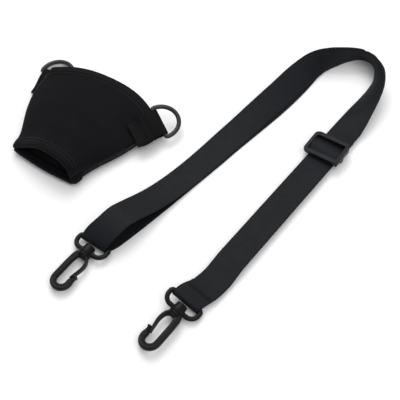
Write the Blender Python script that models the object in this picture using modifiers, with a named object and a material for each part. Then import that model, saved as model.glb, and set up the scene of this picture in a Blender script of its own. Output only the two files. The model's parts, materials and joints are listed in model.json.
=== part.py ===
"""An adjustable webbing strap with two swivel snap hooks, and the flared neoprene cup that it carries.

Lengths below are in millimetres. +Y runs along the strap from the hooks to its bend, +Z is up, and
the whole set lies on the plane z = 0, with the origin under the middle of its bounding box.
"""

import math

import bmesh
import bpy
import numpy as np
from mathutils import Matrix

MM = 0.001
MIDDLE = np.array((4.3, -5.0, -0.1))  # middle of the set in the drawing's own coordinates
UP = np.array((0.0, 0.0, 1.0))
CLEAR = 0.3  # gap between pieces that touch

# Webbing
WEB_WIDTH = 24.8
WEB_THICK = 1.2
LAYER_PITCH = WEB_THICK + CLEAR  # between the middles of two stacked layers
STACK = WEB_THICK + LAYER_PITCH  # two layers with the gap between them
STATION = 7.0  # spacing of the webbing's cross-sections
FOLD_STEPS = 8

# The doubled webbing, from hook 1 round the bend to the slider: its inner edge (x, y), how high the
# stack is carried, how far it leans up on that edge in degrees, how far the upper layer stands off
# the lower one, and how far the two have slipped apart sideways.
DOUBLED_ROUTE = (
    (33.6, -122.0, 0.2, 0.0, 15.0, 0.0),
    (36.6, -111.0, 0.0, 0.0, 16.8, 0.0),
    (40.8, -95.0, 0.0, 0.0, 12.2, 0.0),
    (44.2, -81.0, 0.0, 0.0, 7.2, 0.0),
    (47.6, -67.0, 0.0, 0.0, 3.6, 0.0),
    (52.2, -47.0, 0.0, 0.0, 0.9, 0.0),
    (56.6, -28.0, 0.0, 0.0, 0.0, 0.3),
    (61.0, -9.0, 0.0, 2.0, 0.0, 0.5),
    (65.9, 14.0, 0.0, 6.0, 0.0, 0.8),
    (70.4, 33.0, 0.0, 11.0, 0.0, 1.2),
    (74.9, 52.0, 0.0, 17.0, 0.0, 2.0),
    (79.2, 71.0, 0.0, 22.0, 0.0, 2.8),
    (83.2, 92.0, 0.0, 26.0, 0.0, 3.2),
    (86.2, 114.0, 0.0, 34.0, 0.0, 3.0),
    (88.2, 135.0, 0.0, 52.0, 0.0, 1.5),
    (92.2, 150.5, 0.1, 80.0, 0.0, 0.3),
    (97.0, 161.0, 0.1, 98.0, 0.0, 0.0),
    (103.6, 171.0, 0.1, 111.0, 0.0, 0.0),
    (112.2, 178.6, 0.1, 119.0, 0.0, 0.0),
    (122.8, 179.4, 0.1, 121.0, 0.0, 0.0),
    (131.8, 171.4, 0.1, 112.0, 0.0, 0.0),
    (135.0, 162.0, 0.1, 96.0, 0.0, 0.0),
    (136.0, 152.0, 0.2, 73.0, 0.0, 0.0),
    (135.6, 139.0, 0.3, 54.0, 0.0, 0.0),
    (133.8, 124.0, 1.0, 39.0, 0.0, 0.0),
    (131.1, 108.0, 2.2, 25.0, 0.0, 0.0),
    (128.5, 92.0, 3.3, 8.0, 0.0, 0.0),
)

# Slider, and the straight run of webbing that it travels on
SLIDER_AT = np.array((136.8, 51.0, 0.0))
RUN_TURN = Matrix.Rotation(math.radians(-7.1), 4, "Z")
SLIDER_WIDE = 33.0
SLIDER_SHIFT = -1.1  # how far the frame has slipped sideways on the webbing
SLIDER_LONG = 25.0
SLIDER_CORNER = 3.2
SLIDER_RAIL = 2.7
SLIDER_END_BAR = 4.0
SLIDER_THICK = 4.0
SLIDER_PLAY = 1.2  # how far the frame's end bars ride clear of the webbing
BAR_LOW = WEB_THICK + CLEAR
BAR_HIGH = BAR_LOW + 1.8
BAR_LONG = 3.0
WRAP_HIGH = BAR_HIGH + CLEAR + WEB_THICK / 2  # middle of the wrap's upper pass
RUN_HIGH = WRAP_HIGH + LAYER_PITCH  # middle of the webbing that runs over the bar
END_BAR_LOW = RUN_HIGH + WEB_THICK / 2 + CLEAR + SLIDER_PLAY
SLIDER_HIGH = END_BAR_LOW + 2.1
WRAP_REACH = 32.0  # from the bar to where the sewn end meets the lower layer
WRAP_TAIL = 24.0
WRAP_BEND = 1.2  # how far past the bar's middle the wrap turns back
WRAP_UNDER = ((4.0, 0.6), (10.0, 1.4))  # the wrap's lower pass rising to its tail: reach and height
SEWN_LEVEL = 2.5  # how far the strap stays level where the wrap is sewn to it
YOKE_WIDE = SLIDER_WIDE - 1.0
FRAME_ROUND = 0.5  # rounding of the slider's edges

# Webbing between the straight run and hook 2, and its sewn tail
RUN_END = 142.0  # how far the straight run goes on from the slider's middle
RUN_STATIONS = 16
HOOK_2_APPROACH = ((116.8, -113.0, 5.9), (113.4, -127.5, 7.6))
TAIL_LIFT = 0.4  # how far the sewn tail's end stands above the approach's last point
TAIL_SHARES = (0.4, 0.7, 1.0)  # stations on the tail, from over the loop's bar to its sewn end

# Snap hooks: the frame of each sits at the middle of its loop's bar, with the hook along -Y
LOOP_WIRE = 1.8  # radius
LOOP_HALF = 14.5  # half width to the wire's middle
LOOP_DEEP = 11.0
LOOP_TIGHT = 2.2  # bend radius where the bar turns into the sides
LOOP_WIDE = 6.8  # bend radius towards the socket
LOOP_HIGH = 5.7
HOOK_1_AT = np.array((16.5, -132.5, LOOP_HIGH))
HOOK_1_TURN = Matrix.Rotation(math.radians(-4.5), 4, "Z")
HOOK_2_AT = np.array((108.0, -140.0, LOOP_HIGH + 1.2))
HOOK_2_ROLL = Matrix.Rotation(math.radians(13.0), 4, "Y")
HOOK_2_TURN = Matrix.Rotation(math.radians(-7.0), 4, "Z") @ HOOK_2_ROLL
FOLD_RADIUS = LOOP_WIRE + 1.5 * CLEAR + WEB_THICK / 2
FOLD_1 = (258.0, 130.0)  # where the webbing's turn round each loop's bar starts and ends, in degrees
FOLD_2 = (278.0, 84.0)
STEM_RADIUS = 2.4
STEM_PLAY = 0.2
HEAD_RADIUS = 3.5
COLLAR_TOP = -8.6
COLLAR_END = -16.2
SOCKET = ((3.9, COLLAR_TOP), (4.6, -12.0), (5.6, -14.6), (5.6, COLLAR_END))  # (radius, y)
STEM_HEAD = COLLAR_TOP + CLEAR
STEM_FOOT = COLLAR_END - CLEAR
HOOK_ARM = 2.6  # radius of the hook's arm
HOOK_SHOULDER = ((-3.0, -19.0, 2.2), (-4.9, -23.5, 2.4), (-5.7, -29.0, 2.6))  # (x, y, radius)
HOOK_TIP = ((4.0, 2.4), (7.3, 1.9), (9.0, 1.2))  # (rise above the bend's middle, radius)
HOOK_BEND = (1.0, -42.3, 6.6)  # middle and radius of the hook's round end
STEM = (  # (radius, y) of the head above the socket, the stem in it and the collar below it
    (0.0, STEM_HEAD + 1.8), (HEAD_RADIUS - 0.8, STEM_HEAD + 1.8), (HEAD_RADIUS, STEM_HEAD + 1.0),
    (HEAD_RADIUS, STEM_HEAD), (STEM_RADIUS, STEM_HEAD), (STEM_RADIUS, STEM_FOOT),
    (5.4, STEM_FOOT), (5.4, STEM_FOOT - 1.6), (4.0, STEM_FOOT - 4.6), (0.0, STEM_FOOT - 5.2),
)
GATE_THICK = 1.5
GATE_TALL = 4.2
GATE_ROUTE = ((4.9, -21.6), (7.0, -24.4), (7.2, -28.0), (6.1, -31.6), (4.2, -35.4))

# Neoprene cup, lying on its side: sides, arched wide end and mouth
NEOPRENE = 3.0
SEAM_GAP = 0.6  # between the two panels where they are sewn together
CUP_LEFT = ((-103.0, -88.0, 6.8), (-105.5, -73.5, 7.0), (-117.4, -48.5, 9.0), (-124.4, -27.0, 11.0),
            (-127.5, -1.0, 13.0))
CUP_RIGHT = ((-36.5, -92.0, 6.8), (-30.5, -71.5, 6.8), (-19.8, -48.0, 6.8), (-13.0, -28.0, 7.2),
             (-12.5, -1.0, 7.4))
ARCH_RISE = 14.0
ARCH_LEAN = 0.1  # how much fuller the arch is on its right
MOUTH_SET_BACK = 2.2
PUFF = (13.0, 17.0, 16.0, 11.5, 6.5)  # how far the upper panel stands up, from mouth to wide end
FLOOR_TAPE = 3.4  # how much higher the lower panel lies where tape wraps its edge
BINDING_WIDE = 5.5
HEM_WIDE = 6.0
TAPE = 1.0
TAPE_REACH = 0.8  # share of a panel's width that its tapes run along
TAPE_SLACK = 2.0  # a folded tape's inside is this much thicker than the panel's edge
TAPE_GAP = 0.8  # between the panel's edge and the tape's fold
LIFTED_CORNER = 0.64  # beyond this share the lower panel rises off the left ring, with no tape
SEAM_STAND = 0.6  # how far a side seam's stitching stands above and below the two edges

# Cup tabs and D-rings
RING_WIRE = 1.85
RING_HALF = 15.0
RING_DEEP = 18.5
TAB_REACH = 28.0
TAB_NECK = 9.0  # where a tab's two layers close up behind the ring's bar
TAB_DIP = 0.9
TAB_LEVEL = (8.0, 6.0)  # how long the sewn ends of its upper and lower layers lie level
RIGHT_TAB_AT = np.array((-5.7, -2.7, 13.0))
LEFT_TAB_AT = np.array((-128.8, 4.8, 3.3))


def clear_scene():
    for obj in list(bpy.data.objects):
        bpy.data.objects.remove(obj, do_unlink=True)


def collection(name, hidden=False):
    made = bpy.data.collections.new(name)
    bpy.context.scene.collection.children.link(made)
    made.hide_render = hidden
    return made


def material(name, colour, roughness, metallic=0.0):
    made = bpy.data.materials.new(name)
    made.use_nodes = True
    shader = made.node_tree.nodes["Principled BSDF"]
    shader.inputs["Base Color"].default_value = (*colour, 1.0)
    shader.inputs["Roughness"].default_value = roughness
    shader.inputs["Metallic"].default_value = metallic
    return made


def add_object(name, data, paint, at=(0.0, 0.0, 0.0), turn=None, target=None):
    """Link data, drawn in metres about its own origin, at a place given in millimetres."""
    obj = bpy.data.objects.new(name, data)
    (target or PARTS).objects.link(obj)
    rotation = turn or Matrix.Identity(4)
    obj.matrix_world = Matrix.Translation((np.array(at) - MIDDLE) * MM) @ rotation
    data.materials.append(paint)
    return obj


def as_mesh(obj):
    """Turn a curve object into a mesh object with its caps welded on."""
    graph = bpy.context.evaluated_depsgraph_get()
    mesh = bpy.data.meshes.new_from_object(obj.evaluated_get(graph))
    weld(mesh)
    made = bpy.data.objects.new(obj.name, mesh)
    for home in obj.users_collection:
        home.objects.link(made)
    name, placed = obj.name, obj.matrix_world.copy()
    bpy.data.objects.remove(obj, do_unlink=True)
    made.name = name
    made.matrix_world = placed
    return made


def weld(mesh):
    work = bmesh.new()
    work.from_mesh(mesh)
    bmesh.ops.remove_doubles(work, verts=work.verts, dist=1e-6)
    bmesh.ops.recalc_face_normals(work, faces=work.faces)
    work.to_mesh(mesh)
    work.free()


def smooth_shade(obj, degrees=40.0):
    obj.data.shade_smooth()
    obj.data.set_sharp_from_angle(angle=math.radians(degrees))


def boolean(obj, other, operation):
    modifier = obj.modifiers.new(operation.lower(), "BOOLEAN")
    modifier.operation = operation
    modifier.solver = "EXACT"
    modifier.object = other


def box(name, size, middle, at, turn):
    """A cutter or a bar: a box of this size about middle, in the frame at and turn."""
    work = bmesh.new()
    bmesh.ops.create_cube(work, size=MM)
    bmesh.ops.scale(work, vec=size, verts=work.verts)
    bmesh.ops.translate(work, vec=np.array(middle) * MM, verts=work.verts)
    mesh = bpy.data.meshes.new(name)
    work.to_mesh(mesh)
    work.free()
    obj = add_object(name, mesh, PLASTIC, at, turn, CUTTERS)
    obj.display_type = "WIRE"
    obj.hide_render = True
    return obj


def tube(name, points, radii, paint, at, turn, closed=False, target=None):
    """A round bar through points, in millimetres, with a radius at each."""
    curve = bpy.data.curves.new(name, "CURVE")
    curve.dimensions = "3D"
    curve.bevel_depth = MM
    curve.bevel_resolution = 3
    curve.use_fill_caps = True
    spline = curve.splines.new("POLY")
    spline.points.add(len(points) - 1)
    spline.use_cyclic_u = closed
    for point, place, radius in zip(spline.points, points, radii):
        point.co = (*(np.array(place) * MM), 1.0)
        point.radius = radius
    return as_mesh(add_object(name, curve, paint, at, turn, target))


def turned(name, profile, paint, at, turn, target=None):
    """A turned piece about the local Y axis; profile holds (radius, y) from its top down."""
    mesh = bpy.data.meshes.new(name)
    points = [(radius * MM, 0.0, y * MM) for radius, y in profile]
    mesh.from_pydata(points, [(i, i + 1) for i in range(len(points) - 1)], [])
    upright = Matrix.Rotation(math.radians(-90.0), 4, "X")
    obj = add_object(name, mesh, paint, at, turn @ upright, target)
    screw = obj.modifiers.new("turn", "SCREW")
    screw.steps = 24
    screw.render_steps = 24
    screw.use_merge_vertices = True
    screw.merge_threshold = 1e-5
    return obj


def unit(vector):
    return vector / np.linalg.norm(vector)


def through(points, step):
    """Points every step or so along a smooth curve through the rows of points."""
    rows = np.array(points, float)
    ends = np.vstack((2 * rows[0] - rows[1], rows, 2 * rows[-1] - rows[-2]))
    found = []
    for before, here, there, after in zip(ends, ends[1:], ends[2:], ends[3:]):
        count = max(2, round(np.linalg.norm((there - here)[:2]) / step))
        for i in range(count):
            t = i / count
            found.append(0.5 * (2 * here + (there - before) * t
                                + (2 * before - 5 * here + 4 * there - after) * t ** 2
                                + (3 * here - before - 3 * there + after) * t ** 3))
    return np.array([*found, rows[-1]])


def along(points):
    """Unit directions of travel at each point."""
    ahead = np.gradient(points, axis=0)
    return ahead / np.linalg.norm(ahead, axis=1)[:, None]


def swept(name, frames, section, paint, closed=False):
    """A solid swept along frames of (place, across, up) with a flat section of (across, up) points."""
    work = bmesh.new()
    rings = []
    for place, across, up in frames:
        rings.append([work.verts.new((place + a * across + b * up - MIDDLE) * MM) for a, b in section])
    pairs = list(zip(rings, rings[1:]))
    if closed:
        pairs.append((rings[-1], rings[0]))
    sides = len(section)
    for ring, after in pairs:
        for i in range(sides):
            j = (i + 1) % sides
            work.faces.new((ring[i], ring[j], after[j], after[i]))
    if not closed:
        work.faces.new(rings[0])
        work.faces.new(rings[-1])
    bmesh.ops.recalc_face_normals(work, faces=work.faces)
    mesh = bpy.data.meshes.new(name)
    work.to_mesh(mesh)
    work.free()
    obj = bpy.data.objects.new(name, mesh)
    PARTS.objects.link(obj)
    mesh.materials.append(paint)
    return obj


def webbing(name, middles, acrosses, width=WEB_WIDTH):
    """A flat band whose middle line and cross direction are given at each station."""
    middles = np.array(middles)
    frames = []
    for place, ahead, across in zip(middles, along(middles), acrosses):
        across = unit(across - ahead * np.dot(across, ahead))
        frames.append((place, across, np.cross(ahead, across)))
    a, b = width / 2, WEB_THICK / 2
    return swept(name, frames, ((-a, -b), (a, -b), (a, b), (-a, b)), WEBBING)


def doubled_layers():
    """Middle lines and cross directions of the lower and the upper layer, hook 1 to slider."""
    route = through(DOUBLED_ROUTE, STATION)
    edge = np.column_stack((route[:, :2], np.zeros(len(route))))
    lean = np.radians(route[:, 3])
    ahead = along(edge)
    outward = np.column_stack((-ahead[:, 1], ahead[:, 0], np.zeros(len(route))))
    across = np.cos(lean)[:, None] * outward + np.sin(lean)[:, None] * UP
    normal = np.cos(lean)[:, None] * UP - np.sin(lean)[:, None] * outward
    edge[:, 2] = route[:, 2] + STACK / 2 * np.abs(np.cos(lean))
    middle = edge + across * WEB_WIDTH / 2
    lower = middle - normal * LAYER_PITCH / 2
    upper = middle + normal * (LAYER_PITCH / 2 + route[:, 4, None]) + across * route[:, 5, None]
    return lower, upper, across


def cross_direction(turn):
    return np.array(turn.to_3x3())[:, 0]


def fold(at, turn, from_angle, to_angle):
    """Middles of the webbing's turn round a loop's bar: 90 degrees is over it, 180 on its hook side."""
    _, back, up = np.array(turn.to_3x3()).T
    angles = np.radians(np.linspace(from_angle, to_angle, FOLD_STEPS))
    return [at + FOLD_RADIUS * (math.cos(a) * back + math.sin(a) * up) for a in angles]


def make_strap():
    """One length of webbing: from the slider, round hook 1, back over the slider and round hook 2."""
    lower, upper, across = doubled_layers()
    run_across = cross_direction(RUN_TURN)
    run_ahead = np.cross(run_across, UP)  # towards hook 2
    meet = SLIDER_AT - run_ahead * (WRAP_REACH + CLEAR)
    sewn = [meet + UP * WRAP_HIGH, meet - run_ahead * SEWN_LEVEL + UP * WRAP_HIGH]
    middles = [*sewn, *lower[::-1]]
    acrosses = [run_across, run_across, *across[::-1]]

    first = cross_direction(HOOK_1_TURN)
    middles += fold(HOOK_1_AT, HOOK_1_TURN, *FOLD_1)
    acrosses += [-first] * FOLD_STEPS
    middles += [*upper]
    acrosses += [*across]

    for reach in np.linspace(-WRAP_REACH, RUN_END, RUN_STATIONS):
        middles.append(SLIDER_AT + run_ahead * reach + UP * RUN_HIGH)
        acrosses.append(run_across)
    second = cross_direction(HOOK_2_TURN)
    approach = [np.array(point) for point in HOOK_2_APPROACH]
    for i, point in enumerate(approach):
        middles.append(point - UP * LAYER_PITCH)
        acrosses.append(run_across + (second - run_across) * (i + 1) / (len(approach) + 1))
    middles += fold(HOOK_2_AT, HOOK_2_TURN, *FOLD_2)
    acrosses += [second] * FOLD_STEPS
    tail = np.array(HOOK_2_APPROACH[-1]) + UP * TAIL_LIFT
    for share in TAIL_SHARES:
        middles.append((HOOK_2_AT + UP * FOLD_RADIUS) * (1 - share) + tail * share)
        acrosses.append(second)
    webbing("strap_webbing", middles, acrosses)


def make_slider():
    """A flat frame over the webbing, with a yoke under its middle whose bar carries the webbing's end."""
    at = SLIDER_AT + cross_direction(RUN_TURN) * SLIDER_SHIFT
    curve = bpy.data.curves.new("slider_frame", "CURVE")
    curve.dimensions = "2D"
    curve.fill_mode = "BOTH"
    curve.extrude = SLIDER_THICK / 2 * MM
    spline = curve.splines.new("POLY")
    outline = []
    inset_x, inset_y = SLIDER_WIDE / 2 - SLIDER_CORNER, SLIDER_LONG / 2 - SLIDER_CORNER
    for quarter, (sx, sy) in enumerate(((1, 1), (-1, 1), (-1, -1), (1, -1))):
        for a in np.radians(np.linspace(0, 90, 5) + 90 * quarter):
            outline.append((sx * inset_x + SLIDER_CORNER * math.cos(a),
                            sy * inset_y + SLIDER_CORNER * math.sin(a)))
    spline.points.add(len(outline) - 1)
    spline.use_cyclic_u = True
    for point, (x, y) in zip(spline.points, outline):
        point.co = (x * MM, y * MM, 0.0, 1.0)
    middle = SLIDER_HIGH - SLIDER_THICK / 2
    frame = as_mesh(add_object("slider_frame", curve, PLASTIC, at + UP * middle, RUN_TURN))
    round_edges(frame, FRAME_ROUND)
    yoke_high = SLIDER_HIGH - SLIDER_THICK / 2 - BAR_LOW
    yoke = box("slider_yoke", (YOKE_WIDE, BAR_LONG, yoke_high), (0, 0, BAR_LOW + yoke_high / 2), at, RUN_TURN)
    inner = SLIDER_WIDE - 2 * SLIDER_RAIL
    window = box("slider_window", (inner, SLIDER_LONG - 2 * SLIDER_END_BAR, SLIDER_HIGH),
                 (0, 0, BAR_HIGH + SLIDER_HIGH / 2), at, RUN_TURN)
    tunnel_high = END_BAR_LOW - BAR_HIGH
    tunnel = box("slider_tunnel", (inner, SLIDER_LONG * 2, tunnel_high), (0, 0, BAR_HIGH + tunnel_high / 2),
                 at, RUN_TURN)
    boolean(frame, yoke, "UNION")
    boolean(frame, window, "DIFFERENCE")
    boolean(frame, tunnel, "DIFFERENCE")

    across = cross_direction(RUN_TURN)
    back = np.cross(UP, across)
    level = [SLIDER_AT + back * reach + UP * WRAP_HIGH for reach in np.linspace(WRAP_REACH, BAR_LONG, 5)]
    radius = (WRAP_HIGH - WEB_THICK / 2) / 2
    turn_at = SLIDER_AT - back * WRAP_BEND + UP * (WRAP_HIGH - radius)
    middles = level
    for a in np.radians(np.linspace(90, 270, FOLD_STEPS)):
        middles.append(turn_at + radius * (math.cos(a) * back + math.sin(a) * UP))
    under = WRAP_HIGH - LAYER_PITCH
    for reach, high in (*WRAP_UNDER, (WRAP_TAIL * 0.6, under), (WRAP_TAIL, under)):
        middles.append(SLIDER_AT + back * reach + UP * high)
    webbing("slider_webbing_end", middles, [across] * len(middles))


def round_edges(obj, width):
    bevel = obj.modifiers.new("edges", "BEVEL")
    bevel.width = width * MM
    bevel.segments = 2
    bevel.limit_method = "ANGLE"


def loop_points():
    """The swivel loop's wire: a straight bar, tight upper corners and wide lower ones."""
    points = []
    corners = ((LOOP_TIGHT, -LOOP_TIGHT, 90.0), (LOOP_WIDE, LOOP_WIDE - LOOP_DEEP, 0.0))
    for radius, middle_y, first in corners:
        middle_x = LOOP_HALF - radius
        for a in np.radians(np.linspace(first, first - 90.0, 6)):
            points.append((middle_x + radius * math.cos(a), middle_y + radius * math.sin(a), 0.0))
    return points + [(-x, y, z) for x, y, z in reversed(points)]


def make_hook(number, at, turn, flip):
    """A D-shaped loop with a socket, the hook whose stem turns in it, and the hook's sprung gate."""
    hook_turn = turn @ Matrix.Rotation(math.pi * flip, 4, "Y")
    wire = loop_points()
    loop = tube(f"hook_{number}_loop", wire, [LOOP_WIRE] * len(wire), PLASTIC, at, turn, closed=True)
    socket = turned(f"hook_{number}_socket", ((0.0, COLLAR_TOP), *SOCKET, (0.0, COLLAR_END)),
                    PLASTIC, at, turn, CUTTERS)
    hide(socket)
    boolean(loop, socket, "UNION")
    bore_radius = STEM_RADIUS + STEM_PLAY
    bore_top, bore_end = COLLAR_TOP + HEAD_RADIUS + 1.0, COLLAR_END - HEAD_RADIUS
    bore = turned(f"hook_{number}_bore",
                  ((0.0, bore_top), (bore_radius, bore_top), (bore_radius, bore_end), (0.0, bore_end)),
                  PLASTIC, at, turn, CUTTERS)
    hide(bore)
    boolean(loop, bore, "DIFFERENCE")

    points, radii = hook_route()
    hook = tube(f"hook_{number}", points, radii, PLASTIC, at, hook_turn)
    stem = turned(f"hook_{number}_stem", STEM, PLASTIC, at, hook_turn, CUTTERS)
    hide(stem)
    boolean(hook, stem, "UNION")

    route = through([(x, y, 0.0) for x, y in GATE_ROUTE], 3.0)
    ahead = along(route)
    root = route[0]
    work = bmesh.new()
    rings = []
    for place, direction in zip(route, ahead):
        side = np.array((-direction[1], direction[0], 0.0))
        rings.append([work.verts.new((place - root + a * side + b * UP) * MM)
                      for a, b in rectangle(GATE_THICK, GATE_TALL)])
    for ring, after in zip(rings, rings[1:]):
        for i in range(4):
            j = (i + 1) % 4
            work.faces.new((ring[i], ring[j], after[j], after[i]))
    work.faces.new(rings[0])
    work.faces.new(rings[-1])
    bmesh.ops.recalc_face_normals(work, faces=work.faces)
    mesh = bpy.data.meshes.new(f"hook_{number}_gate")
    work.to_mesh(mesh)
    work.free()
    root_at = np.array(at) + np.array(hook_turn.to_3x3()) @ root
    add_object(f"hook_{number}_gate", mesh, PLASTIC, root_at, hook_turn)


def rectangle(width, height):
    a, b = width / 2, height / 2
    return ((-a, -b), (a, -b), (a, b), (-a, b))


def hide(obj):
    obj.hide_render = True
    obj.display_type = "WIRE"


def hook_route():
    """The hook's arm, round end and returning tip, with the radius at each point."""
    x, y, radius = HOOK_BEND
    points = [(arm_x, arm_y, 0.0) for arm_x, arm_y, _ in HOOK_SHOULDER]
    radii = [arm_radius for _, _, arm_radius in HOOK_SHOULDER]
    for a in np.radians(np.linspace(180, 360, 11)):
        points.append((x + radius * math.cos(a), y + radius * math.sin(a), 0.0))
        radii.append(HOOK_ARM)
    for rise, tip_radius in HOOK_TIP:
        points.append((x + radius, y + rise, 0.0))
        radii.append(tip_radius)
    return points, radii


def cup_side(points, v):
    """A point on one side seam, at share v of the way from the mouth to the wide end."""
    rows = through(points, 4.0)
    travelled = np.concatenate(((0.0,), np.cumsum(np.linalg.norm(np.diff(rows, axis=0), axis=1))))
    return np.array([np.interp(v * travelled[-1], travelled, rows[:, k]) for k in range(3)])


def cup_point(u, v, over):
    """The middle of the upper (over) or lower panel's sheet: u -1 to 1 across, v 0 to 1 along."""
    left, right = cup_side(CUP_LEFT, v), cup_side(CUP_RIGHT, v)
    place = left + (right - left) * (u + 1) / 2
    crown = (1 - u * u) ** 0.75
    arch = (1 - abs(u) ** 2.5) * (1 + ARCH_LEAN * u) * ARCH_RISE
    set_back = (1 - u * u) * MOUTH_SET_BACK * (1 if over else -1)
    place[1] += arch * v + set_back * (1 - v)
    stand = (NEOPRENE + SEAM_GAP) / 2
    if over:
        rise = np.interp(v, np.linspace(0, 1, len(PUFF)), PUFF)
        place[2] += stand + rise * crown
    else:
        floor = NEOPRENE / 2 + FLOOR_TAPE * (2 * v - 1) ** 4
        settle = min(1.0, crown * 1.5) ** (4 if u < 0 else 1)
        place[2] += (floor - place[2] + stand) * settle - stand
    return place


def cup_frame(u, v, over):
    """A point on a panel, and the direction along the cup there."""
    step = 0.01
    ahead = cup_point(u, min(v + step, 1.0), over) - cup_point(u, max(v - step, 0.0), over)
    return cup_point(u, v, over), unit(ahead)


def make_panel(name, over):
    """One neoprene panel: a grid drawn out to the cup's shape and thickened straight up and down."""
    work = bmesh.new()
    bmesh.ops.create_grid(work, x_segments=18, y_segments=12, size=1.0)
    for vert in work.verts:
        u, v = vert.co.x, (vert.co.y + 1) / 2
        vert.co = (cup_point(u, v, over) - MIDDLE - UP * NEOPRENE / 2) * MM
    sheet = bmesh.ops.extrude_face_region(work, geom=work.faces[:])
    raised = [item for item in sheet["geom"] if isinstance(item, bmesh.types.BMVert)]
    bmesh.ops.translate(work, vec=UP * NEOPRENE * MM, verts=raised)
    bmesh.ops.recalc_face_normals(work, faces=work.faces)
    mesh = bpy.data.meshes.new(name)
    work.to_mesh(mesh)
    work.free()
    obj = bpy.data.objects.new(name, mesh)
    PARTS.objects.link(obj)
    mesh.materials.append(NEOPRENE_CLOTH)
    smooth_shade(obj, 60.0)


def channel(wide, inside):
    """A folded tape's section: a C open towards -across, round an edge of this thickness."""
    a, b = inside / 2, inside / 2 + TAPE
    near, far = TAPE_GAP, TAPE_GAP + TAPE
    return ((-wide, a), (near, a), (near, -a), (-wide, -a), (-wide, -b), (far, -b), (far, b), (-wide, b))


def make_edge_tape(name, v, over, wide, paint):
    frames = []
    sign = 1 if v > 0.5 else -1
    for u in np.linspace(-TAPE_REACH if over else -LIFTED_CORNER, TAPE_REACH, 24):
        place, ahead = cup_frame(u, v, over)
        level = ahead * sign
        upright = unit(UP - level * np.dot(UP, level))
        frames.append((place, level, upright))
    swept(name, frames, channel(wide, NEOPRENE + TAPE_SLACK), paint)


def make_side_seam(name, side):
    frames = []
    high = (2 * NEOPRENE + SEAM_GAP) / 2 + SEAM_STAND
    section = ((CLEAR, -high), (CLEAR + TAPE, -high), (CLEAR + TAPE, high), (CLEAR, high))
    points = CUP_LEFT if side < 0 else CUP_RIGHT
    middles = np.array([cup_side(points, v) for v in np.linspace(0.09, 0.90, 18)])
    for place, ahead in zip(middles, along(middles)):
        outward = unit(np.cross(ahead, UP)) * side
        frames.append((place, outward, unit(UP - ahead * np.dot(UP, ahead))))
    swept(name, frames, section, THREAD)


def ring_points():
    points = [(-RING_HALF + 1.5, 0.0, 0.0), (RING_HALF - 1.5, 0.0, 0.0), (RING_HALF - 0.4, 0.6, 0.0)]
    for a in np.radians(np.linspace(0, 180, 17)):
        points.append((RING_HALF * math.cos(a), 2.0 + (RING_DEEP - 2.0) * math.sin(a), 0.0))
    return points + [(-RING_HALF + 0.4, 0.6, 0.0)]


def make_tab(name, at, turn, path):
    """A tab of folded webbing; path holds (y, z) of its middle in the tab's own frame."""
    frame = np.array(turn.to_3x3())
    across = frame @ np.array((1.0, 0.0, 0.0))
    middles = [at + frame @ np.array((0.0, y, z)) for y, z in path]
    webbing(name, middles, [across] * len(middles))


def tab_path(lower_reach, drop):
    """Over the ring's bar and back under it, the upper layer a little longer."""
    radius = RING_WIRE + CLEAR + WEB_THICK / 2
    angles = np.radians(np.linspace(90, -90, FOLD_STEPS))
    turn_round = [(radius * math.cos(a), radius * math.sin(a)) for a in angles]
    high = LAYER_PITCH - drop
    neck = radius - TAB_DIP
    over, under = TAB_LEVEL
    upper = [(-TAB_REACH, high), (-TAB_REACH + over, high), (-TAB_NECK, neck)]
    lower = [(-TAB_NECK, neck - LAYER_PITCH - TAB_DIP), (-lower_reach + under, -drop), (-lower_reach, -drop)]
    return upper + turn_round + lower


def make_ring_and_tab(side, at, turn, drop):
    name = "left" if side < 0 else "right"
    wire = ring_points()
    tube(f"{name}_d_ring", wire, [RING_WIRE] * len(wire), RING, at, turn, closed=True)
    make_tab(f"{name}_tab", at, turn, tab_path(TAB_REACH - 4.0, drop))


def make_cup():
    make_panel("cup_front_panel", True)
    make_panel("cup_back_panel", False)
    for over, label in ((True, "front"), (False, "back")):
        make_edge_tape(f"{label}_rim_binding", 1.0, over, BINDING_WIDE, BINDING)
        make_edge_tape(f"{label}_mouth_hem", 0.0, over, HEM_WIDE, NEOPRENE_CLOTH)
    make_side_seam("left_side_seam", -1)
    make_side_seam("right_side_seam", 1)
    right = Matrix.Rotation(math.radians(-31.0), 4, "Z") @ Matrix.Rotation(math.radians(19.0), 4, "Y")
    make_ring_and_tab(1, RIGHT_TAB_AT, right, -3.8)
    left = Matrix.Rotation(math.radians(10.0), 4, "Z")
    make_ring_and_tab(-1, LEFT_TAB_AT, left, 2.6)


clear_scene()
PARTS = collection("strap_and_cup")
CUTTERS = collection("cutters", hidden=True)
WEBBING = material("webbing", (0.012, 0.012, 0.014), 0.75)
PLASTIC = material("black_plastic", (0.010, 0.010, 0.011), 0.35)
NEOPRENE_CLOTH = material("neoprene_cloth", (0.012, 0.011, 0.014), 0.9)
BINDING = material("binding_tape", (0.012, 0.012, 0.013), 0.8)
THREAD = material("thread", (0.015, 0.015, 0.016), 0.8)
RING = material("ring", (0.03, 0.03, 0.032), 0.3, 0.6)
make_strap()
make_slider()
make_hook(1, HOOK_1_AT, HOOK_1_TURN, 0)
make_hook(2, HOOK_2_AT, HOOK_2_TURN, 1)
make_cup()
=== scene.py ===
"""The looks of a webbing strap with snap hooks and its neoprene instrument cup, built over the CAD frame.

Lengths are in millimetres in the CAD model's drawing coordinates, and become metres about the frame's
origin when a mesh is made. Routes and cup sides follow the CAD model's own driving dimensions, and
stray from them by up to 1 mm where the photograph does.
"""

import json
import math

import bpy
import numpy as np
from mathutils import Matrix, Vector

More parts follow.
